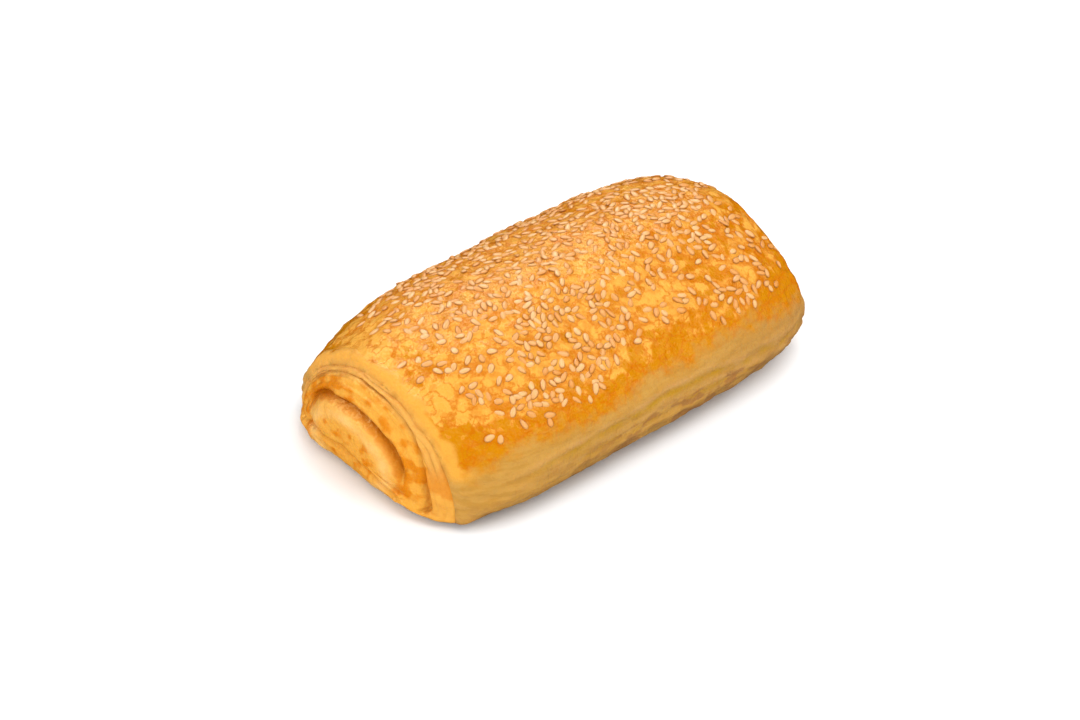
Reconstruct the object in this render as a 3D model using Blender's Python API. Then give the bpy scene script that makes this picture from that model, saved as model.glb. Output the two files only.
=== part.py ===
"""Cheese pastry: a rolled puff-pastry loaf, glazed and baked with sesame seeds.

One sheet of dough is rolled up into a flattened spiral, so the part is one
solid. It lies along X with its spiral ends at -X and +X, and it rests on the
floor at Z = 0. Lengths are metres; MM turns millimetres into metres.
"""
from math import acos, atan2, copysign, cos, degrees, exp, pi, radians, sin, sqrt
import random

import bmesh
import bpy
from mathutils import Matrix, Vector

MM = 0.001

# The outer sheet: where its two cut edges lie along the roll.
NEAR_EDGE = -57.9 * MM
FAR_EDGE = 65.7 * MM
FULLEST = -13.0 * MM          # where the roll is tallest and widest

# Each size is given at the near edge, at the fullest place, and at the far edge.
TOP_HEIGHT = (32.4 * MM, 41.7 * MM, 34.2 * MM)
LEFT_REACH = (37.6 * MM, 40.5 * MM, 34.0 * MM)
RIGHT_REACH = (31.0 * MM, 39.4 * MM, 30.4 * MM)
WAIST_HEIGHT = (3.0 * MM, 16.0 * MM, 13.5 * MM)
RIDGE_OFFSET = (5.0 * MM, 0.0, 0.0)
BASE_SQUARENESS = (2.35, 3.4, 2.5)
LEFT_ROUNDNESS = (1.75, 1.9, 1.9)
RIGHT_ROUNDNESS = (2.1, 1.66, 1.62)
BASE_SINK = 1.0 * MM          # how far the round section is pressed flat

# How suddenly a size changes towards the near and towards the far edge.
TOP_FALL = (2.4, 6.1)
SIDE_FALL = (3.7, 6.9)
SHAPE_FALL = (2.5, 3.0)

# The inner turns swell out of the outer sheet at both ends.
NEAR_SWELL = 8.3 * MM
FAR_SWELL = 4.3 * MM
# How far the swelling reaches towards the rim, and how much further at the base.
NEAR_FULLNESS = (1.9, 4.6)
FAR_FULLNESS = (2.0, 4.0)
NEAR_EYE = (7.0 * MM, 12.5 * MM)      # centre of the spiral, across and up
FAR_EYE = (0.0, 15.0 * MM)

# The seam under the outer sheet, as a share of the way from the eye to the rim.
SHEET_SEAM = 0.92
SEAM_INSET = 0.11             # how much nearer the eye it runs, low on the right
SEAM_DEPTH = 1.2 * MM
CRACK_DEPTH = 2.4 * MM        # where that seam opens, low on the right

# The innermost turn: a tongue under a deep groove, above a shallow crease.
TONGUE_CENTRE = (5.2 * MM, 10.0 * MM)
TONGUE_RADII = (20.0 * MM, 12.6 * MM)
TONGUE_SWELL = 1.5 * MM
RIDGE_INSET = 0.25            # how far inside the groove the tongue is fullest
GROOVE_DEPTH = 2.6 * MM
LIP_ROUND = 2.2 * MM          # how round the groove's upper lip is
TONGUE_ROUND = 3.2 * MM       # and the tongue under it
CREASE_TOP = 8.8 * MM
CREASE_DEPTH = 0.9 * MM
CREASE_WIDTH = 1.5 * MM
CREASE_BEND = (18.0 * MM, 9.5 * MM)   # how flat it runs to the left, to the right

EDGE_ROUND = 2.2 * MM         # the outer sheet's rounded cut edge

# The fold along each long side, above the lower lobe of dough.
FOLD_HEIGHT = 15.8 * MM
FOLD_DEPTH = 1.3 * MM
FOLD_WIDTH = 2.6 * MM

# Slices around and along the roll.
SEGMENTS = 44
NEAR_RINGS = 15
SIDE_RINGS = 18
FAR_RINGS = 11

# Sesame seeds.
SEED_COUNT = 200
SEED_SIZE = (3.3 * MM, 2.1 * MM, 1.1 * MM)
SEED_GAP = 4.1 * MM
SEED_SINK = 0.10 * MM
SEED_START = -50.0 * MM
SEED_END = 64.0 * MM
SEED_DRAW = 11

CRUST_COLOUR = (0.80, 0.36, 0.035, 1.0)


def signed_power(value, exponent):
    return copysign(abs(value) ** exponent, value)


def dent(distance, width):
    """A soft bump of height 1 that fades over the width."""
    return exp(-(distance / width) ** 2)


def window(value, start, end, fade):
    """1 between start and end, falling smoothly to 0 over the fade."""
    share = min(value - start, end - value) / fade
    share = min(max(share, 0.0), 1.0)
    return share * share * (3.0 - 2.0 * share)


def along(sizes, x, falls):
    """A size at x, from its values at the near edge, fullest place and far edge."""
    near, fullest, far = sizes
    if x < FULLEST:
        share = (FULLEST - x) / (FULLEST - NEAR_EDGE)
        return fullest + (near - fullest) * share ** falls[0]
    share = (x - FULLEST) / (FAR_EDGE - FULLEST)
    return fullest + (far - fullest) * share ** falls[1]


def section(x, angle):
    """A point of the outer sheet: across and up, at an angle from the left side."""
    draw_in = rounding(x)
    top = along(TOP_HEIGHT, x, TOP_FALL) - draw_in
    waist = along(WAIST_HEIGHT, x, SHAPE_FALL)
    ridge = along(RIDGE_OFFSET, x, SHAPE_FALL)
    base_power = 2.0 / along(BASE_SQUARENESS, x, SHAPE_FALL)
    across, up = cos(angle), sin(angle)
    if across > 0.0:
        reach = along(LEFT_REACH, x, SIDE_FALL) - ridge - draw_in
        top_power = 2.0 / along(LEFT_ROUNDNESS, x, SHAPE_FALL)
    else:
        reach = along(RIGHT_REACH, x, SIDE_FALL) + ridge - draw_in
        top_power = 2.0 / along(RIGHT_ROUNDNESS, x, SHAPE_FALL)
    if up > 0.0:
        y = ridge + reach * signed_power(across, top_power)
        z = waist + (top - waist) * up ** top_power
    else:
        y = ridge + reach * signed_power(across, base_power)
        z = waist - (waist + BASE_SINK) * abs(up) ** base_power
    z = max(z, 0.0)
    fold = dent(z - FOLD_HEIGHT, FOLD_WIDTH) * window(x, NEAR_EDGE, FAR_EDGE, 15.0 * MM)
    y -= copysign(FOLD_DEPTH * fold * abs(across) ** 2, across)
    return y, z


def rounding(x):
    """How far the outer sheet draws in at its two rounded edges."""
    from_edge = min(x - NEAR_EDGE, FAR_EDGE - x)
    share = 1.0 - min(max(from_edge, 0.0) / EDGE_ROUND, 1.0)
    return EDGE_ROUND * (1.0 - sqrt(1.0 - share * share))


def rounded(distance, radius):
    """How far a round lip has risen: 0 in the crease it starts from, 1 at the radius."""
    left = max(1.0 - abs(distance) / radius, 0.0)
    return sqrt(1.0 - left * left)


def tongue_relief(y, z):
    """Height added by the innermost turn, the groove over it and the crease under it."""
    across = (y - TONGUE_CENTRE[0]) / TONGUE_RADII[0]
    up = (z - TONGUE_CENTRE[1]) / TONGUE_RADII[1]
    reach = sqrt(across * across + up * up)
    bearing = degrees(atan2(up, across)) % 360.0
    upper = window(bearing, 2.0, 184.0, 24.0)
    from_groove = (reach - 1.0) * TONGUE_RADII[1]
    radius = LIP_ROUND if from_groove > 0.0 else TONGUE_ROUND
    relief = -GROOVE_DEPTH * (1.0 - rounded(from_groove, radius)) * upper
    inside = max(1.0 - reach, 0.0) / RIDGE_INSET
    relief += TONGUE_SWELL * inside * exp(1.0 - inside) * window(up, -0.25, 3.0, 0.4)
    bend = CREASE_BEND[0] if across > 0.0 else CREASE_BEND[1]
    crease_height = CREASE_TOP - MM * ((y - TONGUE_CENTRE[0]) / bend) ** 2
    crease = dent(z - crease_height, CREASE_WIDTH) * window(across, -1.1, 1.15, 0.3)
    return relief - CREASE_DEPTH * crease


def sheet_relief(share, bearing):
    """The seam between the outer sheet and the turn inside it, open low on the right."""
    line = SHEET_SEAM - SEAM_INSET * window(bearing, 120.0, 240.0, 50.0)
    seam = dent(share - line, 0.022) * window(bearing, 18.0, 166.0, 22.0)
    crack = dent(share - line, 0.04) * window(bearing, 150.0, 205.0, 16.0)
    return -SEAM_DEPTH * seam - CRACK_DEPTH * crack


def end_point(share, angle, edge, eye, swell, fullness, outward):
    """A point of a spiral end, at a share of the way from its eye to the rim."""
    rim_y, rim_z = section(edge, angle)
    y = eye[0] + (rim_y - eye[0]) * share
    z = eye[1] + (rim_z - eye[1]) * share
    downward = max(-sin(angle), 0.0) ** 0.7
    steepness = fullness[0] + fullness[1] * downward
    stand_out = swell * (1.0 - share ** steepness) ** 0.7
    relief = tongue_relief(y, z) + sheet_relief(share, degrees(angle) % 360.0)
    stand_out += relief * (1.0 - share ** 16)
    return Vector((edge + outward * stand_out, y, z))


def roll_point(latitude, angle):
    """The roll's surface: latitude 0 is the near eye, 1 the far eye."""
    rings = NEAR_RINGS + SIDE_RINGS + FAR_RINGS
    ring = latitude * rings
    if ring < NEAR_RINGS:
        share = sin(0.5 * pi * ring / NEAR_RINGS)
        return end_point(share, angle, NEAR_EDGE, NEAR_EYE, NEAR_SWELL, NEAR_FULLNESS, -1.0)
    if ring > NEAR_RINGS + SIDE_RINGS:
        share = sin(0.5 * pi * (rings - ring) / FAR_RINGS)
        return end_point(share, angle, FAR_EDGE, FAR_EYE, FAR_SWELL, FAR_FULLNESS, 1.0)
    share = 0.5 - 0.5 * cos(pi * (ring - NEAR_RINGS) / SIDE_RINGS)
    x = NEAR_EDGE + (FAR_EDGE - NEAR_EDGE) * share
    return Vector((x, *section(x, angle)))


def make_roll(collection):
    """The rolled loaf: a sphere whose rings are moved to the slices of the roll."""
    form = bmesh.new()
    rings = NEAR_RINGS + SIDE_RINGS + FAR_RINGS
    bmesh.ops.create_uvsphere(form, u_segments=SEGMENTS, v_segments=rings, radius=1.0)
    for vertex in form.verts:
        latitude = acos(min(max(vertex.co.z, -1.0), 1.0)) / pi
        angle = atan2(vertex.co.y, vertex.co.x)
        vertex.co = roll_point(latitude, angle)
    bmesh.ops.recalc_face_normals(form, faces=form.faces)
    bmesh.ops.triangulate(form, faces=form.faces)
    mesh = bpy.data.meshes.new("pastry")
    form.to_mesh(mesh)
    form.free()
    roll = bpy.data.objects.new("pastry", mesh)
    collection.objects.link(roll)
    return roll


def seed_place(x, angle):
    """Where a seed lies on the skin, with the skin's outward direction there."""
    here = Vector((x, *section(x, angle)))
    step_x = Vector((x + 0.2 * MM, *section(x + 0.2 * MM, angle))) - here
    step_round = Vector((x, *section(x, angle + 0.01))) - here
    return here, step_round.cross(step_x).normalized()


def choose_seeds():
    """Spread seeds over the glazed top: dense along the middle, sparse at its edges."""
    draw = random.Random(SEED_DRAW)
    places = []
    while len(places) < SEED_COUNT:
        x = draw.uniform(SEED_START, SEED_END)
        bearing = draw.uniform(12.0, 150.0)
        crown = window(bearing, 6.0, 152.0, 55.0)
        ends = window(x, SEED_START - 6.0 * MM, SEED_END + 12.0 * MM, 26.0 * MM)
        if draw.random() > crown * ends:
            continue
        point, normal = seed_place(x, radians(bearing))
        if all((point - other[0]).length > SEED_GAP for other in places):
            places.append((point, normal, draw.uniform(0.0, 2.0 * pi), draw.uniform(0.88, 1.1)))
    return places


def make_seeds(collection):
    """One small drop-shaped solid for each seed, sunk to about its middle."""
    form = bmesh.new()
    bmesh.ops.create_uvsphere(form, u_segments=6, v_segments=3, radius=0.5)
    for vertex in form.verts:
        vertex.co = Vector((vertex.co.z, vertex.co.x, vertex.co.y))
        pointed = 1.0 - 0.45 * vertex.co.x
        vertex.co.y *= pointed
        vertex.co = Vector([c * s for c, s in zip(vertex.co, SEED_SIZE)])
    bmesh.ops.triangulate(form, faces=form.faces)
    bmesh.ops.recalc_face_normals(form, faces=form.faces)
    seed_mesh = bpy.data.meshes.new("sesame_seed")
    form.to_mesh(seed_mesh)
    form.free()
    for point, normal, turn, size in choose_seeds():
        seed = bpy.data.objects.new("sesame_seed", seed_mesh)
        lie = normal.to_track_quat("Z", "Y").to_matrix().to_4x4()
        lie = lie @ Matrix.Rotation(turn, 4, "Z") @ Matrix.Scale(size, 4)
        seed.matrix_world = Matrix.Translation(point + normal * SEED_SINK) @ lie
        collection.objects.link(seed)


def fuse_seeds(roll, seeds):
    """Join the seeds to the crust they are baked onto, and remove the loose ones."""
    fuse = roll.modifiers.new("fuse_seeds", "BOOLEAN")
    fuse.operation = "UNION"
    fuse.operand_type = "COLLECTION"
    fuse.collection = seeds
    fuse.solver = "EXACT"
    bpy.context.view_layer.update()
    graph = bpy.context.evaluated_depsgraph_get()
    fused = bpy.data.meshes.new_from_object(roll.evaluated_get(graph))
    roll.modifiers.clear()
    roll.data = fused
    for seed in list(seeds.objects):
        bpy.data.objects.remove(seed, do_unlink=True)
    bpy.data.collections.remove(seeds)


def centre_on_origin(roll):
    """Put the origin under the middle of the roll, on the floor."""
    corners = [vertex.co for vertex in roll.data.vertices]
    low = Vector([min(corner[i] for corner in corners) for i in range(3)])
    high = Vector([max(corner[i] for corner in corners) for i in range(3)])
    shift = Vector((-(low.x + high.x) / 2.0, -(low.y + high.y) / 2.0, -low.z))
    roll.data.transform(Matrix.Translation(shift))
    print("moved by (mm)", [round(value / MM, 3) for value in shift])


def crust_material():
    material = bpy.data.materials.new("baked_crust")
    material.use_nodes = True
    shader = material.node_tree.nodes["Principled BSDF"]
    shader.inputs["Base Color"].default_value = CRUST_COLOUR
    shader.inputs["Roughness"].default_value = 0.45
    shader.inputs["Metallic"].default_value = 0.0
    return material


def main():
    for item in list(bpy.data.objects):
        bpy.data.objects.remove(item, do_unlink=True)
    pastry = bpy.data.collections.new("cheese_pastry")
    seeds = bpy.data.collections.new("seeds")
    bpy.context.scene.collection.children.link(pastry)
    bpy.context.scene.collection.children.link(seeds)
    roll = make_roll(pastry)
    print("roll faces", len(roll.data.polygons))
    make_seeds(seeds)
    fuse_seeds(roll, seeds)
    centre_on_origin(roll)
    roll.data.materials.clear()
    roll.data.materials.append(crust_material())
    roll.data.shade_smooth()
    roll.data.set_sharp_from_angle(angle=radians(40.0))
    roll.data.calc_loop_triangles()
    print("triangles", len(roll.data.loop_triangles))


main()
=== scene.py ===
# %% [markdown]
# A cheese pastry, made up for its portrait
#
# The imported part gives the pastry's true size and place: a rolled loaf of puff pastry,
# about 138 mm long, lying along X with its spiral ends at -X and +X. This lesson gives it
# its looks: the glazed, blistered crust with its rolled ends, and the sesame seeds.
# Everything is in metres. Sizes are written in millimetres and multiplied by MM.

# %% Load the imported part
import math
from math import cos, pi, radians, sin
import random

import bpy
import numpy as np
from mathutils import Matrix, Vector, kdtree, noise


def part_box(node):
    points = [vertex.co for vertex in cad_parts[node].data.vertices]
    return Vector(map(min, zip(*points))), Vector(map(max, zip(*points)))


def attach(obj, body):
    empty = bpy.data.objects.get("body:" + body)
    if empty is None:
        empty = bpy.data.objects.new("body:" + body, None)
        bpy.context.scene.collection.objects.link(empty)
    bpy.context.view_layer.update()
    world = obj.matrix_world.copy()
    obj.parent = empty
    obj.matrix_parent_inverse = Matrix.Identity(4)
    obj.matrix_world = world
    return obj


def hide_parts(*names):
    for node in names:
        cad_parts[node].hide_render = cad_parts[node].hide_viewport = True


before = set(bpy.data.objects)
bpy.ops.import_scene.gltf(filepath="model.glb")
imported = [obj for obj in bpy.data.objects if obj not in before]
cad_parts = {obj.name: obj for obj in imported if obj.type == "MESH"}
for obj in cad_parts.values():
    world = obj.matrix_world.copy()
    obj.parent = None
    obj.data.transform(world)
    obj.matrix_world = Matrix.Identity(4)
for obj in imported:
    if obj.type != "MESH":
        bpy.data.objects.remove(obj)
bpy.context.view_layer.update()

MM = 0.001
cad_low, cad_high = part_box("pastry")
print("pastry (mm)", [round(size / MM, 1) for size in cad_high - cad_low])

# %% [markdown]
# The camera
#
# The roll was photographed from its near left corner, from a long way off and about 37
# degrees up. A long lens keeps the far end almost as large as the near one. Turning the
# camera a little to the side puts the pastry where the photo has it, with no lens shift.

# %% Camera
VIEW_TURN = radians(-41.0)
VIEW_RISE = radians(37.0)
VIEW_DISTANCE = 0.85
AIM_LEFT = 3.4 * MM
AIM_DOWN = 6.9 * MM
LENS_MM = 105.4
SENSOR_MM = 36.0

level = cos(VIEW_RISE)
away = Vector((sin(VIEW_TURN) * level, -cos(VIEW_TURN) * level, sin(VIEW_RISE)))
sideways = Vector((cos(VIEW_TURN), sin(VIEW_TURN), 0.0))
upwards = away.cross(sideways)
middle = Vector((-2.2 * MM, -0.55 * MM, 18.0 * MM))
eye_point = middle + away * VIEW_DISTANCE
aim_point = middle - sideways * AIM_LEFT - upwards * AIM_DOWN

bpy.ops.object.select_all(action="DESELECT")
bpy.ops.object.camera_add(location=eye_point)
camera = bpy.context.object
camera.name = "photo_camera"
camera.rotation_euler = (aim_point - eye_point).to_track_quat("-Z", "Y").to_euler()
camera.data.lens = LENS_MM
camera.data.sensor_width = SENSOR_MM
camera.data.clip_start = 0.05
camera.data.clip_end = 20.0
bpy.context.scene.camera = camera
print("camera", [round(value, 3) for value in eye_point])

# %% [markdown]
# Light and floor
#
# The photo was taken on a white sweep under one big soft lamp, almost straight overhead,
# with white all round. An area lamp gives the broad light and a low one on the left fills
# the rolled end. Two cards behind the roll are seen only in its gloss and draw the sheen
# along its ridges. A bright world keeps the shadows pale. It is hidden from the gloss, as
# the floor is, because white reflected from every side would wash out the amber.

# %% Lamps
LAMP_AIM = Vector((0.0, 0.0, 0.02))


def soft_lamp(name, location, size, power):
    """A square soft lamp that looks at the pastry."""
    bpy.ops.object.light_add(type="AREA", location=location)
    lamp = bpy.context.object
    lamp.name = name
    lamp.data.size = size
    lamp.data.energy = power
    lamp.rotation_euler = (LAMP_AIM - lamp.location).to_track_quat("-Z", "Y").to_euler()
    return lamp


soft_lamp("overhead_softbox", (0.32, -0.36, 0.92), 1.0, 6.6)
soft_lamp("left_fill", (-1.00, -0.08, 0.36), 0.7, 3.7)
sheen_card = soft_lamp("sheen_card", (0.38, 0.62, 0.78), 0.6, 7.0)
ridge_card = soft_lamp("ridge_card", (-0.43, 0.60, 0.67), 0.4, 6.5)
for card in (sheen_card, ridge_card):
    card.visible_diffuse = False

# %% World and floor
WORLD_STRENGTH = 0.98
FLOOR_WHITE = (0.93, 0.95, 0.97, 1.0)

world = bpy.data.worlds.new("white_studio")
bpy.context.scene.world = world
world.use_nodes = True
backdrop_light = world.node_tree.nodes["Background"]
backdrop_light.inputs["Color"].default_value = (1.0, 1.0, 1.0, 1.0)
backdrop_light.inputs["Strength"].default_value = WORLD_STRENGTH
world.cycles_visibility.glossy = False
bpy.context.scene.view_settings.view_transform = "Standard"

bpy.ops.mesh.primitive_plane_add(size=12.0, location=(0.0, 0.0, 0.0))
floor = bpy.context.object
floor.name = "floor"
floor_paint = bpy.data.materials.new("white_sweep")
floor_paint.use_nodes = True
floor_shader = floor_paint.node_tree.nodes["Principled BSDF"]
floor_shader.inputs["Base Color"].default_value = FLOOR_WHITE
floor_shader.inputs["Roughness"].default_value = 0.9
floor.data.materials.append(floor_paint)
floor.visible_glossy = False
print("floor", floor.name, "and world", world.name)

# %% [markdown]
# The rolled loaf
#
# A baker rolls one sheet of dough into a flattened spiral and lets it rise, so a slice
# through it is a low arch on a flat base. It could be a lofted set of curves, or a block
# shaped by hand. Here a UV sphere is laid with its poles on the two ends, and each of its
# rings is moved to one slice of the roll: the sphere is closed, has no seam to mend, and
# its poles fall on the two eyes of the spiral.

# %% Sizes of the loaf, in millimetres
NEAR_EDGE = -57.9             # the outer sheet's cut edges along the roll
FAR_EDGE = 65.7
FULLEST = -13.0
TOP_HEIGHT = (32.4, 41.7, 34.2)          # near edge, fullest place, far edge
LEFT_REACH = (37.6, 40.5, 34.0)
RIGHT_REACH = (31.0, 39.4, 30.4)
WAIST_HEIGHT = (3.0, 16.0, 13.5)
RIDGE_OFFSET = (5.0, 0.0, 0.0)
BASE_SQUARENESS = (2.35, 3.4, 2.5)
LEFT_ROUNDNESS = (1.75, 1.9, 1.9)
RIGHT_ROUNDNESS = (2.1, 1.66, 1.62)
BASE_SINK = 1.0
TOP_FALL = (2.4, 6.1)
SIDE_FALL = (3.7, 6.9)
SHAPE_FALL = (2.5, 3.0)
EDGE_ROUND = 2.2
FOLD_TOP = 16.4               # the fold along each side is highest here, at FOLD_MIDDLE
FOLD_MIDDLE = 2.0
FOLD_SPREAD = 26.0
FOLD_DEPTH = 0.7
FOLD_WIDTH = 1.1
NEAR_SWELL = 8.3              # how far the inner turns swell out
FAR_SWELL = 4.3
NEAR_FULLNESS = (1.9, 4.6)    # how far that reaches towards the rim, and more at the base
FAR_FULLNESS = (2.0, 4.0)
NEAR_EYE = (7.0, 12.5)
FAR_EYE = (0.0, 15.0)

ROUND_STEPS = 256
NEAR_RINGS = 110
SIDE_RINGS = 150
FAR_RINGS = 80

# %% Helpers for soft shapes
OPEN = 999.0                  # a window's end that is never reached


def dent(distance, width):
    """A soft bump of height 1 that fades over the width."""
    return np.exp(-(distance / width) ** 2)


def window(value, start, end, fade):
    """1 between start and end, falling smoothly to 0 over the fade."""
    share = np.clip(np.minimum(value - start, end - value) / fade, 0.0, 1.0)
    return share * share * (3.0 - 2.0 * share)


def along(sizes, x, falls):
    """A size at x, from its values at the near edge, fullest place and far edge."""
    near, fullest, far = sizes
    to_near = np.clip((FULLEST - x) / (FULLEST - NEAR_EDGE), 0.0, 1.0)
    to_far = np.clip((x - FULLEST) / (FAR_EDGE - FULLEST), 0.0, 1.0)
    towards_near = (near - fullest) * to_near ** falls[0]
    return fullest + towards_near + (far - fullest) * to_far ** falls[1]


def fold_line(x):
    """How high the fold along a side runs."""
    fold_height = FOLD_TOP - ((x - FOLD_MIDDLE) / FOLD_SPREAD) ** 2
    return fold_height + 0.6 * np.sin(x / 7.3) + 0.35 * np.sin(x / 2.9)


def fold_at(x, z):
    """How deep in the fold along a side each point lies, from 0 to 1."""
    strength = np.clip(0.62 + 0.6 * np.sin(x / 3.7 + 1.0) * np.sin(x / 8.9), 0.12, 1.0)
    within = window(x, NEAR_EDGE + 4.0, FAR_EDGE, 18.0)
    return strength * dent(z - fold_line(x), FOLD_WIDTH) * within


def section(x, angle):
    """Points of the outer sheet, across and up, at angles from the left side."""
    from_edge = np.minimum(x - NEAR_EDGE, FAR_EDGE - x)
    share = 1.0 - np.clip(from_edge / EDGE_ROUND, 0.0, 1.0)
    draw_in = EDGE_ROUND * (1.0 - np.sqrt(1.0 - share * share))
    top = along(TOP_HEIGHT, x, TOP_FALL) - draw_in
    waist = along(WAIST_HEIGHT, x, SHAPE_FALL)
    ridge = along(RIDGE_OFFSET, x, SHAPE_FALL)
    base_power = 2.0 / along(BASE_SQUARENESS, x, SHAPE_FALL)
    across, up = np.cos(angle), np.sin(angle)
    left = along(LEFT_REACH, x, SIDE_FALL) - ridge - draw_in
    right = along(RIGHT_REACH, x, SIDE_FALL) + ridge - draw_in
    left_roundness = along(LEFT_ROUNDNESS, x, SHAPE_FALL)
    right_roundness = along(RIGHT_ROUNDNESS, x, SHAPE_FALL)
    roundness = np.where(across > 0.0, left_roundness, right_roundness)
    power = np.where(up > 0.0, 2.0 / roundness, base_power)
    y = ridge + np.where(across > 0.0, left, right) * np.sign(across) * np.abs(across) ** power
    rise = np.abs(up) ** power
    z = np.where(up > 0.0, waist + (top - waist) * rise, waist - (waist + BASE_SINK) * rise)
    z = np.maximum(z, 0.0)
    return y - np.sign(across) * FOLD_DEPTH * fold_at(x, z) * across ** 2, z


# %% A sphere laid along the roll
bpy.ops.object.select_all(action="DESELECT")
rings = NEAR_RINGS + SIDE_RINGS + FAR_RINGS
bpy.ops.mesh.primitive_uv_sphere_add(segments=ROUND_STEPS, ring_count=rings, radius=1.0)
roll = bpy.context.object
roll.name = "pastry_crust"
ball = np.empty(len(roll.data.vertices) * 3)
roll.data.vertices.foreach_get("co", ball)
ball = ball.reshape(-1, 3)
ring = np.arccos(np.clip(ball[:, 2], -1.0, 1.0)) / pi * rings
angle = np.arctan2(ball[:, 1], ball[:, 0])
bearing = np.degrees(angle) % 360.0
print("sphere of", len(ball), "points")

# %% [markdown]
# The spiral ends
#
# At each end the inner turns of dough have swollen out past the outer sheet. Under the
# outer sheet's edge comes a rounded turn whose lip overhangs a deep groove, and under the
# groove lies the innermost turn, a tongue of dough. A shallow crease parts the tongue from
# the bottom sheet. Each of these is a soft rule on the distance from a seam, so that the
# lips stay round and the creases sharp.

# %% Sizes of the spiral, in millimetres
SHEET_SEAM = 0.92             # share of the way from the eye to the rim
SEAM_INSET = 0.11             # how much nearer the eye it runs, low on the right
SEAM_DEPTH = 1.2
CRACK_DEPTH = 3.0
TONGUE_CENTRE = (5.2, 10.0)
TONGUE_RADII = (20.0, 12.6)
TONGUE_SWELL = 1.5
RIDGE_INSET = 0.25
GROOVE_DEPTH = 2.3
LIP_ROUND = 1.8               # how round the groove's upper lip is, and the tongue under it
TONGUE_ROUND = 2.8
CREASE_TOP = 8.8
CREASE_DEPTH = 0.8
CREASE_WIDTH = 1.1
CREASE_BEND = (18.0, 9.5)


def rounded(distance, radius):
    """How far a round lip has risen: 0 in the crease it starts from, 1 at the radius."""
    left = np.clip(1.0 - np.abs(distance) / radius, 0.0, 1.0)
    return np.sqrt(1.0 - left * left)


def tongue_relief(y, z):
    """The innermost turn, the groove over it and the crease under it."""
    across = (y - TONGUE_CENTRE[0]) / TONGUE_RADII[0]
    up = (z - TONGUE_CENTRE[1]) / TONGUE_RADII[1]
    reach = np.hypot(across, up)
    around = np.degrees(np.arctan2(up, across)) % 360.0
    upper = window(around, 2.0, 184.0, 24.0)
    from_groove = (reach - 1.0) * TONGUE_RADII[1]
    radius = np.where(from_groove > 0.0, LIP_ROUND, TONGUE_ROUND)
    relief = -GROOVE_DEPTH * (1.0 - rounded(from_groove, radius)) * upper
    # Where the groove's painted shade falls.
    groove = dent(from_groove, 0.8) * upper
    inside = np.maximum(1.0 - reach, 0.0) / RIDGE_INSET
    tongue = inside * np.exp(1.0 - inside) * window(up, -0.25, 3.0, 0.4)
    under = np.clip(inside / 4.0, 0.0, 1.0)
    bend = np.where(across > 0.0, CREASE_BEND[0], CREASE_BEND[1])
    crease_height = CREASE_TOP - ((y - TONGUE_CENTRE[0]) / bend) ** 2
    crease = dent(z - crease_height, CREASE_WIDTH) * window(across, -1.1, 1.15, 0.3)
    return relief + TONGUE_SWELL * tongue - CREASE_DEPTH * crease, groove, under, crease


def sheet_relief(share, bearing):
    """The seam between the outer sheet and the turn inside it, open low on the right."""
    line = SHEET_SEAM - SEAM_INSET * window(bearing, 120.0, 240.0, 50.0)
    seam = dent(share - line, 0.016) * window(bearing, 12.0, 166.0, 22.0)
    crack = dent(share - line, 0.02) * window(bearing, 150.0, 205.0, 16.0)
    return -SEAM_DEPTH * seam - CRACK_DEPTH * crack, np.maximum(seam, crack)


# %% Move the rings to the slices and ends of the roll
def end_points(share, angle, edge, eye, swell, fullness, outward):
    """A swollen spiral end. Returns its points and how deep in a seam each one lies."""
    rim_y, rim_z = section(np.full_like(share, edge), angle)
    y = eye[0] + (rim_y - eye[0]) * share
    z = eye[1] + (rim_z - eye[1]) * share
    downward = np.maximum(-np.sin(angle), 0.0) ** 0.7
    steepness = fullness[0] + fullness[1] * downward
    stand_out = swell * (1.0 - share ** steepness) ** 0.7
    tongue_height, groove, under, crease = tongue_relief(y, z)
    sheet_height, seam = sheet_relief(share, np.degrees(angle) % 360.0)
    stand_out += (tongue_height + sheet_height) * (1.0 - share ** 16)
    points = np.stack([edge + outward * stand_out, y, z], axis=1)
    return points, groove, under, crease, seam


points = np.zeros_like(ball)
groove, under, crease, seam = (np.zeros(len(ball)) for _ in range(4))
near = ring < NEAR_RINGS
far = ring > NEAR_RINGS + SIDE_RINGS
side = ~(near | far)

side_share = 0.5 - 0.5 * np.cos(pi * (ring[side] - NEAR_RINGS) / SIDE_RINGS)
side_share = 0.35 * side_share + 0.65 * (ring[side] - NEAR_RINGS) / SIDE_RINGS
side_x = NEAR_EDGE + (FAR_EDGE - NEAR_EDGE) * side_share
points[side] = np.stack([side_x, *section(side_x, angle[side])], axis=1)

near_share = np.sin(0.5 * pi * ring[near] / NEAR_RINGS)
far_share = np.sin(0.5 * pi * (rings - ring[far]) / FAR_RINGS)
ends = [
    (near, near_share, NEAR_EDGE, NEAR_EYE, NEAR_SWELL, NEAR_FULLNESS, -1.0),
    (far, far_share, FAR_EDGE, FAR_EYE, FAR_SWELL, FAR_FULLNESS, 1.0),
]
for where, share, edge, eye, swell, fullness, outward in ends:
    made = end_points(share, angle[where], edge, eye, swell, fullness, outward)
    points[where], groove[where], under[where], crease[where], seam[where] = made
print("roll (mm)", (points.max(0) - points.min(0)).round(1))

# %% Helpers for reading and moving a mesh
def set_points(item, places):
    """Give an object's mesh new places, in millimetres, with its normals renewed."""
    item.data.vertices.foreach_set("co", (places * MM).ravel())
    item.data.update()


def of_faces(item, name, width):
    """One value, or a row of them, for each face of an object's mesh."""
    values = np.empty(len(item.data.polygons) * width)
    item.data.polygons.foreach_get(name, values)
    return values.reshape(-1, width)


def whole_numbers(items, name):
    """One whole number for each part of a mesh."""
    values = np.empty(len(items), dtype=np.int32)
    items.foreach_get(name, values)
    return values


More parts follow.
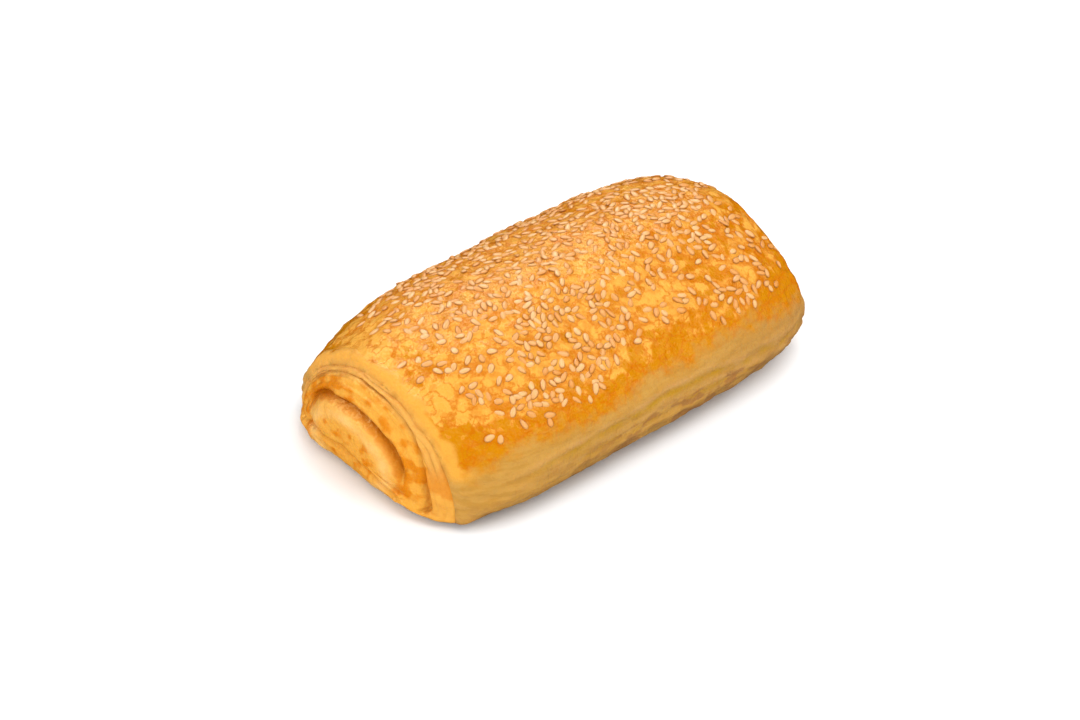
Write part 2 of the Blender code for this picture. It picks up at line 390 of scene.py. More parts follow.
def unit(directions):
    """The same directions, each of length 1."""
    return directions / np.maximum(np.linalg.norm(directions, axis=1), 1e-12)[:, None]


def normals_of(item):
    """The outward direction at each point: its faces' directions, by their corner angles.

    Added up here in a fixed order, so that each run gives the same crust to the last digit.
    """
    spots = np.empty(len(item.data.vertices) * 3)
    item.data.vertices.foreach_get("co", spots)
    spots = spots.reshape(-1, 3)
    corners = whole_numbers(item.data.loops, "vertex_index")
    totals = whole_numbers(item.data.polygons, "loop_total")
    face = np.repeat(np.arange(len(totals)), totals)
    start = whole_numbers(item.data.polygons, "loop_start")[face]
    turn = np.arange(len(corners)) - start
    onward = unit(spots[corners[start + (turn + 1) % totals[face]]] - spots[corners])
    back = unit(spots[corners[start + (turn - 1) % totals[face]]] - spots[corners])
    corner_angle = np.arccos(np.clip((onward * back).sum(axis=1), -1.0, 1.0))
    pull = of_faces(item, "normal", 3)[face] * corner_angle[:, None]
    sums_of_pull = [np.bincount(corners, pull[:, axis], len(spots)) for axis in range(3)]
    return unit(np.stack(sums_of_pull, axis=1))

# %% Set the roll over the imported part
cad_middle = (cad_low + cad_high) / 2.0 / MM
own_middle = (points.max(0) + points.min(0)) / 2.0
shift = np.array([cad_middle.x - own_middle[0], cad_middle.y - own_middle[1], 0.0])
points += shift
set_points(roll, points)
outward_now = normals_of(roll)
if (outward_now * (points - points.mean(0))).sum() < 0.0:
    bpy.ops.object.mode_set(mode="EDIT")
    bpy.ops.mesh.select_all(action="SELECT")
    bpy.ops.mesh.normals_make_consistent(inside=False)
    bpy.ops.object.mode_set(mode="OBJECT")
    print("turned the faces outwards")
print("moved (mm)", shift.round(2))

# %% [markdown]
# The skin of the crust
#
# The glazed top is never smooth: it swells and sinks over a centimetre or two, it is
# dimpled like hammered metal, and near the open end the dough has dried into wrinkles that
# run round the roll. The pale flanks show the edges of the folded layers as streaks along
# the roll, with a raised ledge on each side of the fold and a second, flaky fold lower down
# on the right. Displace modifiers could do one kind of noise at a time. Here each kind is a
# stretched noise added along the outward direction, so that it can fade where it should.

# %% Noise over the surface
def clouds(places, stretch, seed=0.0):
    """Soft noise from about -1 to 1, whose lumps are as long as the stretch, in millimetres."""
    spots = places / np.array(stretch) + seed
    return np.array([noise.noise(Vector(spot)) for spot in spots]) * 1.4


height = points[:, 2]
shape_facing = normals_of(roll)[:, 2]
run = points[:, 0] - shift[0]
from_rim = np.where(side, np.minimum(run - NEAR_EDGE, FAR_EDGE - run), 0.0)
end_share = np.ones(len(points))
end_share[near], end_share[far] = near_share, far_share
END_REACH = 26.0              # about how far it is from an eye to the rim
inside_rim = (1.0 - end_share) * END_REACH
rim_depth = inside_rim - from_rim
print("points on the sides", int(side.sum()), "and on the ends", int((~side).sum()))

# %% Where the egg glaze reached
GLAZE_HEIGHT = 22.2           # the glaze ends this high on the sides, at the middle
GLAZE_DRIP = 5.0              # and lower at both ends
DRIP_REACH = 12.0
GLAZE_FADE = 8.5
RIM_BARE = 1.4                # it stops this far behind the near cut edge

waver = clouds(points, (16.0, 16.0, 16.0), 3.0)
fringe = clouds(points, (4.0, 4.0, 4.0), 9.0)
drips = dent(run - NEAR_EDGE, DRIP_REACH) + dent(run - FAR_EDGE, DRIP_REACH)
glaze_end = GLAZE_HEIGHT - GLAZE_DRIP * drips
lowest_glaze = glaze_end - 4.4 + 2.0 * waver + 1.4 * fringe
glaze = window(height, lowest_glaze, OPEN, GLAZE_FADE) * (side | far)
bare = RIM_BARE + 1.0 * clouds(points, (5.0, 5.0, 5.0), 5.0)
glaze *= window(run - NEAR_EDGE, bare, OPEN, 2.2)
glaze *= window(run, -OPEN, FAR_EDGE + 2.5 + fringe, 2.0)
print("glazed share", round(float(glaze.mean()), 2))

# %% Swells, dimples, wrinkles and layers
SWELL = 0.50                  # how far each kind rises or sinks, in millimetres
DIMPLE = 0.20
CRINKLE = 0.22
WRINKLE = 0.42
LAYER = 0.30
RAGGED = 0.40
LEDGE_RISE = 0.4
LEDGE_OFFSET = 2.0            # from the fold to the ledge on each side of it
LOW_FOLD_HEIGHT = 3.4
LOW_FOLD_WIDTH = 0.8
LOW_FOLD_DEPTH = 0.8
PORE = 0.05

on_base = window(height, 0.4, OPEN, 3.0)
swells = SWELL * clouds(points, (17.0, 14.0, 14.0), 1.0) * glaze
dimples = DIMPLE * clouds(points, (4.2, 4.2, 4.2), 2.0) * (0.35 + 0.65 * glaze)
crinkle = 1.0 - np.abs(clouds(points, (3.6, 5.4, 4.5), 21.0)) * 2.2
dimples += CRINKLE * np.clip(crinkle, -0.6, 1.0) * (0.15 + 0.85 * glaze) * side
wrinkled = window(run, NEAR_EDGE + 4.0, -20.0, 12.0) * side
wrinkled *= window(bearing, 0.0, 125.0, 30.0)
wrinkles = WRINKLE * clouds(points, (2.8, 13.0, 11.0), 4.0) * wrinkled
layers = LAYER * clouds(points, (16.0, 4.0, 1.6), 6.0) * (1.0 - glaze) * side
ragged = RAGGED * clouds(points, (3.6, 4.0, 1.8), 12.0) * side
ragged *= window(height, 3.0, 14.0, 4.0)
above_edge = height - 0.5 * along(WAIST_HEIGHT, run, SHAPE_FALL)
from_low_fold = above_edge - LOW_FOLD_HEIGHT - 1.0 * clouds(points, (9.0, 9.0, 50.0), 27.0)
low_fold = dent(from_low_fold, LOW_FOLD_WIDTH)
low_fold *= window(run, -30.0, 50.0, 14.0) * side * (bearing > 140.0)
flaky = np.clip(0.7 + 0.9 * clouds(points, (6.0, 6.0, 6.0), 28.0), 0.0, 1.0)
ragged -= LOW_FOLD_DEPTH * low_fold * flaky
above_fold = height - fold_line(run)
ledge = dent(above_fold - LEDGE_OFFSET, 1.0) + 0.8 * dent(above_fold + LEDGE_OFFSET, 1.0)
ledge *= window(run, NEAR_EDGE + 8.0, FAR_EDGE - 4.0, 20.0) * side
ledge *= np.clip(0.6 + 1.0 * clouds(points, (7.0, 7.0, 3.0), 29.0), 0.0, 1.0)
ragged += LEDGE_RISE * ledge
pores = PORE * clouds(points, (1.4, 1.4, 1.4), 7.0)
print("wrinkles (mm)", wrinkles.min().round(2), wrinkles.max().round(2))

# %% Edges of the folded layers round the rim
PLY = 1.5                     # from one thin layer to the next
PLY_RISE = 0.22

pillar = window(bearing, 146.0, 205.0, 14.0)
rim_zone = window(rim_depth, -0.9, 3.4 + 1.6 * pillar, 0.9)
rim_zone *= window(bearing, 4.0, 192.0, 12.0)
wobble = 0.6 * clouds(points, (8.0, 8.0, 8.0), 11.0)
uneven = np.clip(0.75 + 0.8 * clouds(points, (9.0, 9.0, 9.0), 13.0), 0.15, 1.3)
phase = np.cos(2.0 * pi * (rim_depth + wobble) / PLY)
layered = rim_zone * uneven * (1.0 - 0.8 * pillar)
plies = -PLY_RISE * phase * layered
ply_line = np.clip(phase, 0.0, 1.0) ** 5 * layered
print("points on the rim", int((rim_zone > 0.5).sum()))

# %% Streaks and lumps of the ends
END_RELIEF = 0.45
FINE_LUMPS = 0.22

around_mm = np.radians(bearing) * END_REACH
end_grain = np.stack([inside_rim, around_mm, np.zeros(len(points))], axis=1)
off_rim = window(inside_rim, 2.0, OPEN, 3.0)
in_dome = off_rim * (under <= 0.0)
end_streaks = END_RELIEF * clouds(end_grain, (1.7, 9.0, 1.0), 8.0) * in_dome
end_lumps = END_RELIEF * clouds(points, (7.0, 7.0, 7.0), 15.0) * (~side) * off_rim
end_lumps += FINE_LUMPS * clouds(points, (3.0, 3.0, 3.0), 19.0) * (~side) * (1.0 - groove)
print("lumps of the ends (mm)", end_lumps.min().round(2), end_lumps.max().round(2))

# %% A painted highlight on the ends, their browned patches and a darker band under the lip
LIP_AT = (0.07, 0.07)         # shares of the way into the tongue, and how wide each line is
RIDGE_AT = (0.24, 0.13)
SPOTS_AT = (0.52, 0.13)
BROWN_TOP = (52.0, 30.0)      # bearings in degrees, and how far round each patch goes
BROWN_LEFT = (166.0, 13.0)

end_patches = clouds(points, (5.0, 4.0, 3.0), 16.0)
end_spots = clouds(points, (3.4, 3.4, 3.4), 23.0)
ridge_line = dent(under - RIDGE_AT[0], RIDGE_AT[1]) * (under > 0.0)
spot_row = dent(under - SPOTS_AT[0], SPOTS_AT[1]) * np.clip(0.2 + 2.2 * end_spots, 0.0, 1.0)
browned = dent(bearing - BROWN_TOP[0], BROWN_TOP[1])
left_patch = 1.6 * dent(bearing - BROWN_LEFT[0], BROWN_LEFT[1])
browned += left_patch * window(height, 8.0, OPEN, 5.0)
warm = 0.22 + 0.65 * end_patches + 0.5 * browned * (under <= 0.0) + 0.9 * spot_row
under_lip = dent(under - LIP_AT[0], LIP_AT[1]) * (under > 0.0)
# The warm colour is taken off the ridge, under its painted highlight.
warm = np.clip(warm + 0.9 * end_streaks - 0.9 * ridge_line + 0.7 * under_lip, 0.0, 1.0)
warm *= window(height, 2.0, OPEN, 6.0)
# A painted highlight along the tongue's ridge.
painted_ridge_highlight = np.clip(ridge_line * (0.75 + 0.5 * end_patches), 0.0, 1.0)
print("glow up to", painted_ridge_highlight.max().round(2), "and warm on average", warm[~side].mean().round(2))

# %% Raise and sink the crust
SEED_ROOM = 0.68              # the glazed skin lies this much lower, to leave the seeds room
EASE = 1.2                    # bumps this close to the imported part's box are pressed flatter
BOX_GAP = 0.05

relief = swells + dimples + wrinkles + layers + ragged + pores + plies + end_streaks + end_lumps
relief = (relief - SEED_ROOM * glaze) * on_base
points = points + normals_of(roll) * relief[:, None]
points[:, 2] = np.maximum(points[:, 2], 0.0)
for axis in (0, 1):
    centre = (cad_low[axis] + cad_high[axis]) / 2.0 / MM
    limit = (cad_high[axis] - cad_low[axis]) / 2.0 / MM - EASE - BOX_GAP
    outwards = np.sign(points[:, axis] - centre)
    out = np.abs(points[:, axis] - centre)
    pressed = limit + EASE * np.tanh((out - limit) / EASE)
    points[:, axis] = centre + outwards * np.where(out > limit, pressed, out)
set_points(roll, points)
print("relief from", relief.min().round(2), "to", relief.max().round(2), "mm")

# %% [markdown]
# Sesame seeds
#
# The seeds were sprinkled on the wet glaze and baked on. They lie flat, at all angles,
# thickest along the crown and thinning towards the open end and down the flanks, with
# gaps and clusters as a hand leaves them. One seed is modelled from a sphere drawn out to
# a drop, its lower half a little wider where the browned glaze clings to it. It is copied
# to faces of the crust that are drawn by a seeded rule, each copy sunk a little. Every try
# draws the same three numbers, whether it places a seed or not, so that a rounding error
# can move a seed or two, but not the places of all the seeds after them.

# %% Model one seed
SEED_SIZE = (2.88 * MM, 1.60 * MM, 0.95 * MM)
SIDEWAYS = (0.0, pi / 2.0, 0.0)
FLARE = (1.07, 1.14)          # how much longer and wider the lower half is

bpy.ops.object.select_all(action="DESELECT")
bpy.ops.mesh.primitive_uv_sphere_add(segments=8, ring_count=7, radius=0.5, rotation=SIDEWAYS)
seed = bpy.context.object
seed.name = "one_seed"
bpy.ops.object.transform_apply(rotation=True)
bpy.ops.object.mode_set(mode="EDIT")
bpy.ops.mesh.select_all(action="SELECT")
bpy.ops.transform.resize(value=SEED_SIZE)
bpy.ops.object.mode_set(mode="OBJECT")
for vertex in seed.data.vertices:
    along_seed = max(vertex.co.x / SEED_SIZE[0] + 0.5, 0.0)
    vertex.co.y *= 1.10 - 0.38 * along_seed ** 1.5
    vertex.co.z *= 1.05 - 0.30 * along_seed
    if vertex.co.z < 0.05 * SEED_SIZE[2]:
        vertex.co.y *= FLARE[1]
        vertex.co.x *= FLARE[0]
heights = np.array([vertex.co.z for vertex in seed.data.vertices]) / SEED_SIZE[2]
seed_edge = seed.data.attributes.new("edge", "FLOAT", "POINT")
# The lower rim of each seed, darkened as browned glaze and painted shade.
seed_edge.data.foreach_set("value", 1.0 - window(heights, 0.06, OPEN, 0.22))
bpy.ops.object.shade_smooth()
print("seed faces", len(seed.data.polygons))

# %% Choose where the seeds lie
SEED_COUNT = 860
SEED_GAP = 1.45               # from one seed's middle to the next, in millimetres
SEED_TRIES = 200000
CLEAR_ENDS = 3.0              # no seed lies this close to the outer sheet's cut edges
SEEDED_FACING = 0.34          # seeds begin where the crust faces upwards this much
SEEDED_HEIGHT = 23.0          # and lies this high
BARE_FLANK = 6.0              # or this much higher on the middle of the right flank


def in_order(item):
    """The faces by the numbers of their points: Blender lists a sphere's faces in any order."""
    corners = whole_numbers(item.data.loops, "vertex_index").astype(np.int64)
    starts = whole_numbers(item.data.polygons, "loop_start")
    lowest = np.minimum.reduceat(corners, starts)
    highest = np.maximum.reduceat(corners, starts)
    return np.lexsort((np.add.reduceat(corners, starts), highest, lowest))


draw = random.Random(20)
listed = in_order(roll)
centres = of_faces(roll, "center", 3)[listed] / MM
facing = of_faces(roll, "normal", 3)[listed]
areas = of_faces(roll, "area", 1)[listed, 0]
patchy = clouds(centres, (13.0, 13.0, 13.0), 14.0)
right_side = (centres[:, 1] < 0.0) * 1.0
crown = window(facing[:, 2], SEEDED_FACING - 0.04 * right_side, OPEN, 0.55)
bare_flank = BARE_FLANK * window(centres[:, 0], -16.0, 34.0, 14.0) * right_side
lowest_seed = SEEDED_HEIGHT - 0.6 * right_side + bare_flank
crown *= window(centres[:, 2], lowest_seed, OPEN, 5.0)
length = window(centres[:, 0], NEAR_EDGE + 4.0, FAR_EDGE - 2.0, 20.0)
chance = areas * crown * (0.06 + 0.94 * length) * np.clip(0.85 + 0.6 * patchy, 0.25, 1.4)
chance *= (centres[:, 0] > NEAR_EDGE + CLEAR_ENDS) * (centres[:, 0] < FAR_EDGE - CLEAR_ENDS)
chance /= chance.max()
print("faces where a seed may lie", int((chance > 0.0).sum()))

# %% Draw the seeds' places
places = []
for attempt in range(SEED_TRIES):
    index = draw.randrange(len(centres))
    luck = draw.random()
    turn = draw.uniform(0.0, 2.0 * pi)
    spot = centres[index]
    if luck < chance[index] and all(math.dist(spot, place[0]) > SEED_GAP for place in places):
        places.append((spot, facing[index], turn))
    if len(places) == SEED_COUNT:
        break
print("seeds placed", len(places), "after tries", attempt + 1)

# %% Copy the seed to its places and join the copies
SEED_TILT = 0.16
SEED_LIFT = (-0.12, 0.20)     # in millimetres
LENGTHS = (0.82, 1.18)        # how a copy differs from the seed that was modelled
WIDTHS = (0.84, 1.12)
HEIGHTS = (0.85, 1.1)

bpy.ops.object.select_all(action="DESELECT")
seed_turns = []
for spot, normal, turn in places:
    tilt = Vector([value + draw.uniform(-SEED_TILT, SEED_TILT) for value in normal]).normalized()
    lie = tilt.to_track_quat("Z", "Y").to_matrix().to_4x4() @ Matrix.Rotation(turn, 4, "Z")
    stretch = (draw.uniform(*LENGTHS), draw.uniform(*WIDTHS), draw.uniform(*HEIGHTS))
    size = Matrix.Diagonal((*stretch, 1.0))
    lift = draw.uniform(*SEED_LIFT) * MM
    copy = bpy.data.objects.new("seed_copy", seed.data.copy())
    move = Matrix.Translation(Vector(spot * MM) + Vector(normal) * lift)
    copy.data.transform(move @ lie @ size)
    tone = copy.data.attributes.new("tone", "FLOAT", "POINT")
    tone.data.foreach_set("value", [draw.random()] * len(copy.data.vertices))
    bpy.context.scene.collection.objects.link(copy)
    copy.select_set(True)
    seed_turns.append(lie.to_3x3().transposed())
bpy.data.objects.remove(seed, do_unlink=True)
bpy.context.view_layer.objects.active = copy
bpy.ops.object.join()
seeds = bpy.context.object
seeds.name = "sesame_seeds"
print("seed points", len(seeds.data.vertices))

# %% [markdown]
# Glaze round the seeds
#
# The egg glaze is drawn up round each seed while it is wet, and it browns there first, so
# every seed sits in a low collar with a darker ring, browned glaze and painted shade round
# the seed. The nearest seed to each point of the crust gives both.

# %% Collars of glaze
COLLAR_LOOK = 3.4             # how far a seed's collar can reach, in millimetres
COLLAR_LONGER = 1.65          # a collar is this much longer than wide
COLLAR_RADIUS = 1.12
COLLAR_WIDTH = 0.42
COLLAR_RISE = 0.14

tree = kdtree.KDTree(len(places))
for index, place in enumerate(places):
    tree.insert(Vector(place[0]), index)
tree.balance()
collar = np.zeros(len(points))
for index in np.nonzero(side & (height > 8.0))[0]:
    place, which, distance = tree.find(Vector(points[index]))
    if distance < COLLAR_LOOK:
        local = seed_turns[which] @ (Vector(points[index]) - place)
        reach = math.hypot(local.x / COLLAR_LONGER, local.y)
        collar[index] = math.exp(-((reach - COLLAR_RADIUS) / COLLAR_WIDTH) ** 2)
points = points + normals_of(roll) * (COLLAR_RISE * collar)[:, None]
set_points(roll, points)
print("points in a collar", int((collar > 0.5).sum()))

# %% [markdown]
# What the crust's material reads
#
# A baker's glaze, a cut edge and a crease are places, not patterns, so the mesh keeps a
# number for each of them at every point, and the material mixes its colours by those
# numbers. A painted image could do the same, but would need a UV map and a file.

# %% Store the places in the mesh
def store(item, name, values):
    """Keep one number at each point of a mesh, for its material to read."""
    layer = item.data.attributes.new(name, "FLOAT", "POINT")
    layer.data.foreach_set("value", np.clip(values, 0.0, 1.0).astype(np.float32))


store(roll, "glaze", glaze)
store(roll, "collar", collar)
# A painted sheen: paler peach on the crust near the open end, where it faces up.
painted_sheen_near = 0.3 * window(run, -OPEN, -30.0, 16.0) * window(shape_facing, 0.5, OPEN, 0.3)
store(roll, "dip", 0.5 - (dimples + 0.5 * wrinkles + 0.3 * swells) / 0.5 - painted_sheen_near)
# The flank layer keeps the painted sheen off the parts that face down, more so on the right.
right_flank = np.where(bearing > 90.0, 1.0, 0.55)
store(roll, "flank", window(shape_facing, -OPEN, 0.86, 0.42) * right_flank)
near_rim = window(run, -OPEN, NEAR_EDGE + 7.0, 6.0)
store(roll, "top", window(height, glaze_end - 4.0, OPEN, 4.0) * near_rim)
store(roll, "away", window(run, 5.0, OPEN, 60.0))
# Painted shade in the groove under the lip and in the crease under the tongue.
store(roll, "groove", groove)
store(roll, "crease", crease)
store(roll, "seam", seam)
broken = np.clip(0.7 + 1.3 * clouds(points, (4.0, 4.0, 4.0), 31.0), 0.0, 1.0)
yellow = dent(above_fold, 1.1) * window(run, -44.0, FAR_EDGE, 20.0) * side
store(roll, "fold", (yellow + 0.6 * low_fold) * broken)
store(roll, "ledge", ledge)
store(roll, "ply", ply_line)
cut_edge = window(rim_depth, -0.8, 3.2 + 1.4 * pillar, 1.2) * (1.0 - 0.6 * pillar)
store(roll, "cut", cut_edge * window(bearing, -20.0, 205.0, 20.0))
store(roll, "turned", ~side)
# The painted highlight along the tongue's ridge.
store(roll, "painted_ridge_highlight", painted_ridge_highlight)
store(roll, "warm", warm)
# A brown foot where the dough met the tray, with painted shade near the floor, on the sides and
# the ends.
foot = window(above_edge, -OPEN, 2.2 + 0.8 * fringe, 2.2) * side
foot *= 0.5 + 0.5 * window(height, -OPEN, 5.0, 4.0)
store(roll, "low", foot + (~side) * window(height, -OPEN, 2.6, 2.0))
along_lobe = 0.35 + 0.65 * window(run, -28.0, 60.0, 30.0)
store(roll, "lobe", window(above_edge, -OPEN, 8.0, 4.0) * side * along_lobe)
print("stored", len(roll.data.attributes), "layers")

# %% [markdown]
# The crust's finish
#
# Baked glaze is amber where it lies thick, in the dips and round the seeds, and paler on
# the bumps, where it is thin. Its peach is partly a painted sheen, kept to the parts that
# face up. Below the glaze the dough is matte and straw-coloured, with darker streaks between
# its layers and a brown foot where it met the tray, with painted shade near the floor.
# Everything is mixed from the stored places and from noise on Object coordinates.

# %% Helpers for materials
def new_paint(name):
    """A new material, its node tree and its shader."""
    paint = bpy.data.materials.new(name)
    paint.use_nodes = True
    return paint, paint.node_tree, paint.node_tree.nodes["Principled BSDF"]


def place_value(tree, name):
    """A number stored in the mesh."""
    reader = tree.nodes.new("ShaderNodeAttribute")
    reader.attribute_name = name
    return reader.outputs["Fac"]


def blotches(tree, size, stretch=(1.0, 1.0, 1.0), offset=0.0, detail=2.0):
    """Noise from 0 to 1 on Object coordinates, its lumps about as large as the size in mm."""
    place = tree.nodes.new("ShaderNodeTexCoord")
    mapping = tree.nodes.new("ShaderNodeMapping")
    mapping.inputs["Location"].default_value = (offset, offset, offset)
    mapping.inputs["Scale"].default_value = [1.0 / (size * MM * part) for part in stretch]
    texture = tree.nodes.new("ShaderNodeTexNoise")
    texture.inputs["Scale"].default_value = 1.0
    texture.inputs["Detail"].default_value = detail
    tree.links.new(place.outputs["Object"], mapping.inputs["Vector"])
    tree.links.new(mapping.outputs["Vector"], texture.inputs["Vector"])
    return texture.outputs["Fac"]


def sums(tree, operation, first, second):
    """One sum on two numbers, each a socket or a plain number."""
    maths = tree.nodes.new("ShaderNodeMath")
    maths.operation = operation
    for slot, value in enumerate((first, second)):
        if isinstance(value, float):
            maths.inputs[slot].default_value = value
        else:
            tree.links.new(value, maths.inputs[slot])
    return maths.outputs["Value"]


def step(tree, value, start, end):
    """0 below start and 1 above end, with a soft way between."""
    ease = tree.nodes.new("ShaderNodeMapRange")
    ease.interpolation_type = "SMOOTHSTEP"
    ease.inputs["From Min"].default_value = start
    ease.inputs["From Max"].default_value = end
    tree.links.new(value, ease.inputs["Value"])
    return ease.outputs["Result"]


def blend_to(tree, below, colour, factor):
    """Lay a colour over what is below it, by a factor."""
    mix = tree.nodes.new("ShaderNodeMix")
    mix.data_type = "RGBA"
    for slot, value in ((6, below), (7, colour)):
        if isinstance(value, tuple):
            mix.inputs[slot].default_value = (*value, 1.0)
        else:
            tree.links.new(value, mix.inputs[slot])
    tree.links.new(factor, mix.inputs[0])
    return mix.outputs[2]


def tint(tree, below, colour, name, weight):
    """Lay a colour where the mesh keeps a number, as strongly as the weight says."""
    return blend_to(tree, below, colour, sums(tree, "MULTIPLY", place_value(tree, name), weight))


def line_at(tree, value, middle, width):
    """1 where a value passes the middle, fading to 0 over the width."""
    off = sums(tree, "ABSOLUTE", sums(tree, "SUBTRACT", value, middle), 0.0)
    return sums(tree, "SUBTRACT", 1.0, step(tree, off, 0.0, width))


def add_bump(tree, shader, height, strength, distance):
    """Fine relief from a height, on the shader's normal."""
    bump = tree.nodes.new("ShaderNodeBump")
    bump.inputs["Strength"].default_value = strength
    bump.inputs["Distance"].default_value = distance
    tree.links.new(height, bump.inputs["Height"])
    tree.links.new(bump.outputs["Normal"], shader.inputs["Normal"])


# %% Colours of the crust
AMBER = (0.56, 0.2, 0.0)
# PEACH is partly thin glaze and partly a painted sheen.
PEACH = (0.76, 0.355, 0.05)
STAIN = (0.55, 0.135, 0.0)
GOLD = (0.74, 0.33, 0.04)
BROWNED = (0.64, 0.192, 0.002)
STRAW = (0.515, 0.262, 0.052)
STREAK = (0.43, 0.2, 0.026)
DULL = (0.41, 0.195, 0.046)
OLIVE = (0.46, 0.225, 0.0)
# A painted highlight for the raised ledges beside the fold.
PALE_LEDGE_HIGHLIGHT = (0.55, 0.285, 0.09)
SCORCH = (0.33, 0.13, 0.035)
# The foot: tray browning and painted shade near the floor.
BROWN_FOOT_AND_SHADE = (0.16, 0.07, 0.018)
CUT_EDGE = (0.69, 0.35, 0.08)
PLY_SHADE = (0.36, 0.13, 0.015)
# Painted shade for the groove and the crease.
GROOVE_SHADE = (0.43, 0.11, 0.0)
# The painted highlight along the tongue's ridge.
PAINTED_HIGHLIGHT = (0.8, 0.45, 0.13)

print("colours from", AMBER, "to", PAINTED_HIGHLIGHT)

# %% The glazed skin
DIP_PARTS = (2.6, 1.8, 2.2, 0.25)        # ruffle, patch, flank and far end, against the dip's 1
AMBER_STEP = (2.84, 3.16)     # peach below, amber above
STAIN_LINE = (2.90, 0.11)     # where the amber's stained border runs, and how wide
DRY_LINE = (0.5, 0.045)
STAINED = (0.52, 0.60)        # no stain where the noise is below the first, all of it above both

crust, tree, shader = new_paint("glazed_crust")
mottle = blotches(tree, 2.2, (1.0, 1.0, 1.0), 6.6, 3.0)
uneven_glaze = sums(tree, "MULTIPLY", sums(tree, "SUBTRACT", mottle, 0.5), 1.1)
glazed = sums(tree, "ADD", place_value(tree, "glaze"), uneven_glaze)
glazed = step(tree, glazed, 0.0, 1.0)
ruffle = blotches(tree, 1.9, (1.0, 1.4, 1.2), 3.1, 4.0)
patch = blotches(tree, 7.0, (1.3, 1.0, 1.0), 7.7, 3.0)
dip = place_value(tree, "dip")
flank, away_end = place_value(tree, "flank"), place_value(tree, "away")
# The flank part keeps the painted sheen of the peach off the parts that face down.
for part, weight in zip((ruffle, patch, flank, away_end), DIP_PARTS):
    dip = sums(tree, "ADD", dip, sums(tree, "MULTIPLY", part, weight))
skin = blend_to(tree, PEACH, AMBER, step(tree, dip, *AMBER_STEP))
border = line_at(tree, dip, *STAIN_LINE)
skin = blend_to(tree, skin, STAIN, sums(tree, "MULTIPLY", border, 0.7))
crackle = blotches(tree, 5.0, (1.2, 1.0, 1.0), 8.8, 4.0)
dry_lines = line_at(tree, crackle, *DRY_LINE)
skin = blend_to(tree, skin, STAIN, sums(tree, "MULTIPLY", dry_lines, 0.7))
stains = step(tree, blotches(tree, 3.4, (1.0, 1.0, 1.0), 5.2, 4.0), *STAINED)
skin = blend_to(tree, skin, STAIN, sums(tree, "MULTIPLY", stains, 0.4))
# The collar's darker ring: browned glaze and painted shade round each seed.
skin = tint(tree, skin, STAIN, "collar", 0.5)
print("skin nodes", len(tree.nodes))

# %% The bare dough
STREAKED = (0.44, 0.58)
BROWNING = (0.16, 0.74)

streaks = step(tree, blotches(tree, 1.6, (7.0, 3.0, 1.0), 1.3, 4.0), *STREAKED)
dough = blend_to(tree, STRAW, STREAK, sums(tree, "MULTIPLY", streaks, 0.5))
dough = tint(tree, dough, DULL, "away", 0.6)
# Paler on the raised ledges beside the fold, a painted highlight.
dough = tint(tree, dough, PALE_LEDGE_HIGHLIGHT, "ledge", 0.7)
dough = tint(tree, dough, OLIVE, "fold", 0.8)
turned = place_value(tree, "turned")
dough = blend_to(tree, dough, GOLD, sums(tree, "MAXIMUM", turned, place_value(tree, "top")))
flecks = sums(tree, "MULTIPLY", sums(tree, "SUBTRACT", ruffle, 0.5), 1.4)
browned = step(tree, sums(tree, "ADD", place_value(tree, "warm"), flecks), *BROWNING)
dough = blend_to(tree, dough, BROWNED, sums(tree, "MULTIPLY", turned, browned))
dough = tint(tree, dough, CUT_EDGE, "cut", 0.7)
# Lay the painted highlight along the tongue's ridge.
dough = blend_to(tree, dough, PAINTED_HIGHLIGHT, sums(tree, "MULTIPLY", turned, place_value(tree, "painted_ridge_highlight")))
print("skin and dough nodes", len(tree.nodes))

# %% The whole crust's colour
SCORCHED = (0.47, 0.56)

finish = blend_to(tree, dough, skin, glazed)
finish = tint(tree, finish, PLY_SHADE, "ply", 0.55)
# Painted shade in the groove and the crease, and along the seam.
finish = tint(tree, finish, GROOVE_SHADE, "groove", 0.95)
finish = tint(tree, finish, GROOVE_SHADE, "crease", 0.35)
finish = tint(tree, finish, PLY_SHADE, "seam", 0.35)
scorch = step(tree, blotches(tree, 3.4, (1.6, 1.6, 0.7), 4.4, 5.0), *SCORCHED)
scorch = sums(tree, "MULTIPLY", scorch, place_value(tree, "lobe"))
finish = blend_to(tree, finish, SCORCH, sums(tree, "MULTIPLY", scorch, 0.75))
# Darken the foot: tray browning and painted shade near the floor.
foot_noise = sums(tree, "MULTIPLY", blotches(tree, 4.0, (1.8, 1.8, 0.6), 6.1, 3.0), 1.5)
finish = blend_to(tree, finish, BROWN_FOOT_AND_SHADE, sums(tree, "MULTIPLY", place_value(tree, "low"), foot_noise))
tree.links.new(finish, shader.inputs["Base Color"])
print("colour nodes", len(tree.nodes))

# %% Gloss and fine relief of the crust
MATTE = 0.57                  # the roughness of bare dough, and how much less the glaze has
GLOSS = 0.36

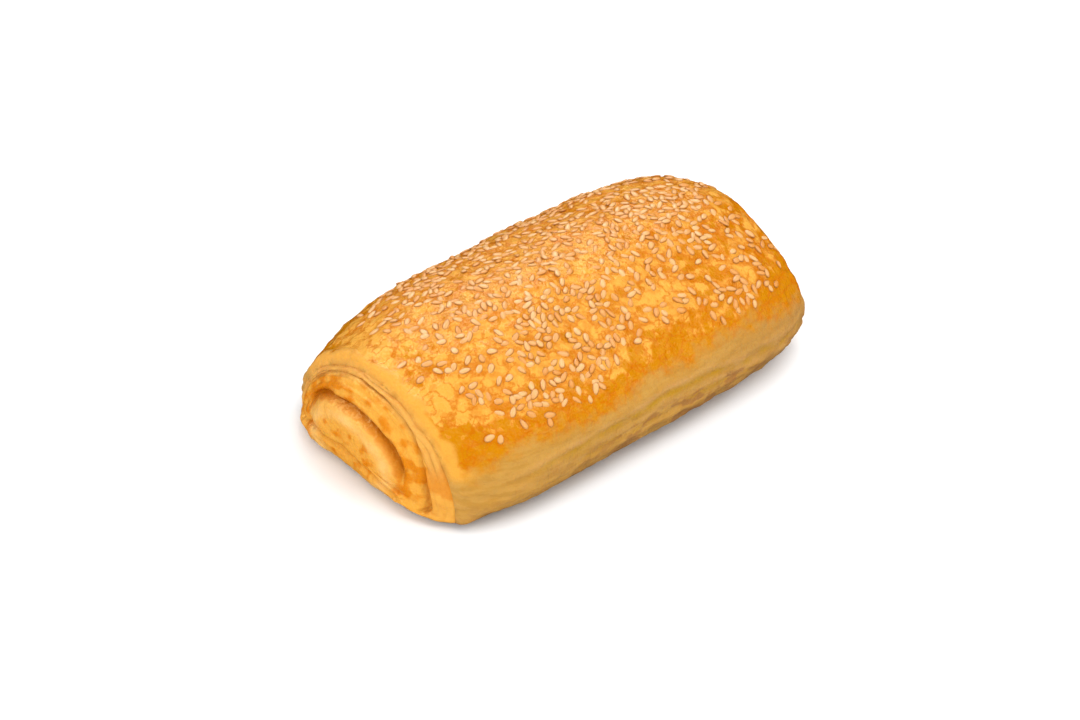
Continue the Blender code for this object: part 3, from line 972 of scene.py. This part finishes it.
glossy = sums(tree, "MAXIMUM", glazed, sums(tree, "MULTIPLY", turned, 0.7))
roughness = sums(tree, "MULTIPLY_ADD", glossy, -GLOSS)
roughness.node.inputs[2].default_value = MATTE
tree.links.new(roughness, shader.inputs["Roughness"])
shader.inputs["Specular IOR Level"].default_value = 0.42
shader.inputs["Specular Tint"].default_value = (1.0, 0.76, 0.24, 1.0)
shader.inputs["Subsurface Weight"].default_value = 0.12
shader.inputs["Subsurface Radius"].default_value = (1.0, 0.45, 0.12)
shader.inputs["Subsurface Scale"].default_value = 1.2 * MM
grain = sums(tree, "ADD", ruffle, sums(tree, "MULTIPLY", blotches(tree, 0.7, offset=9.0), 0.35))
add_bump(tree, shader, grain, 1.0, 0.6 * MM)
roll.data.materials.clear()
roll.data.materials.append(crust)
bpy.ops.object.select_all(action="DESELECT")
roll.select_set(True)
bpy.context.view_layer.objects.active = roll
bpy.ops.object.shade_smooth()
print("crust nodes", len(tree.nodes))

# %% [markdown]
# The seeds' finish
#
# Hulled sesame is cream when raw and turns peach and then light brown as it toasts. It is
# a little darker at its rim, where it meets the glaze: browned glaze and painted shade.
# Each seed has its own tone.

# %% Colours of the seeds
CREAM = (0.77, 0.43, 0.165)
TOASTED = (0.67, 0.27, 0.045)
SEED_RIM_AND_SHADE = (0.38, 0.125, 0.01)

seed_paint, tree, shader = new_paint("toasted_sesame")
tone = place_value(tree, "tone")
seed_colour = blend_to(tree, CREAM, TOASTED, sums(tree, "POWER", tone, 1.2))
# Darken the seed's lower rim: browned glaze and painted shade.
seed_colour = tint(tree, seed_colour, SEED_RIM_AND_SHADE, "edge", 0.8)
tree.links.new(seed_colour, shader.inputs["Base Color"])
shader.inputs["Roughness"].default_value = 0.38
shader.inputs["Specular IOR Level"].default_value = 0.5
shader.inputs["Subsurface Weight"].default_value = 0.2
shader.inputs["Subsurface Radius"].default_value = (1.0, 0.6, 0.3)
shader.inputs["Subsurface Scale"].default_value = 0.6 * MM
add_bump(tree, shader, blotches(tree, 0.35, offset=4.0), 0.3, 0.1 * MM)
seeds.data.materials.clear()
seeds.data.materials.append(seed_paint)
print("seed nodes", len(tree.nodes))

# %% [markdown]
# Hand the pieces over
#
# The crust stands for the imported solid, which stays behind for collision. The seeds are
# baked on, so they ride with it.

# %% Ride, replace and finish
for piece in (roll, seeds):
    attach(piece, "root")
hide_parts("pastry")
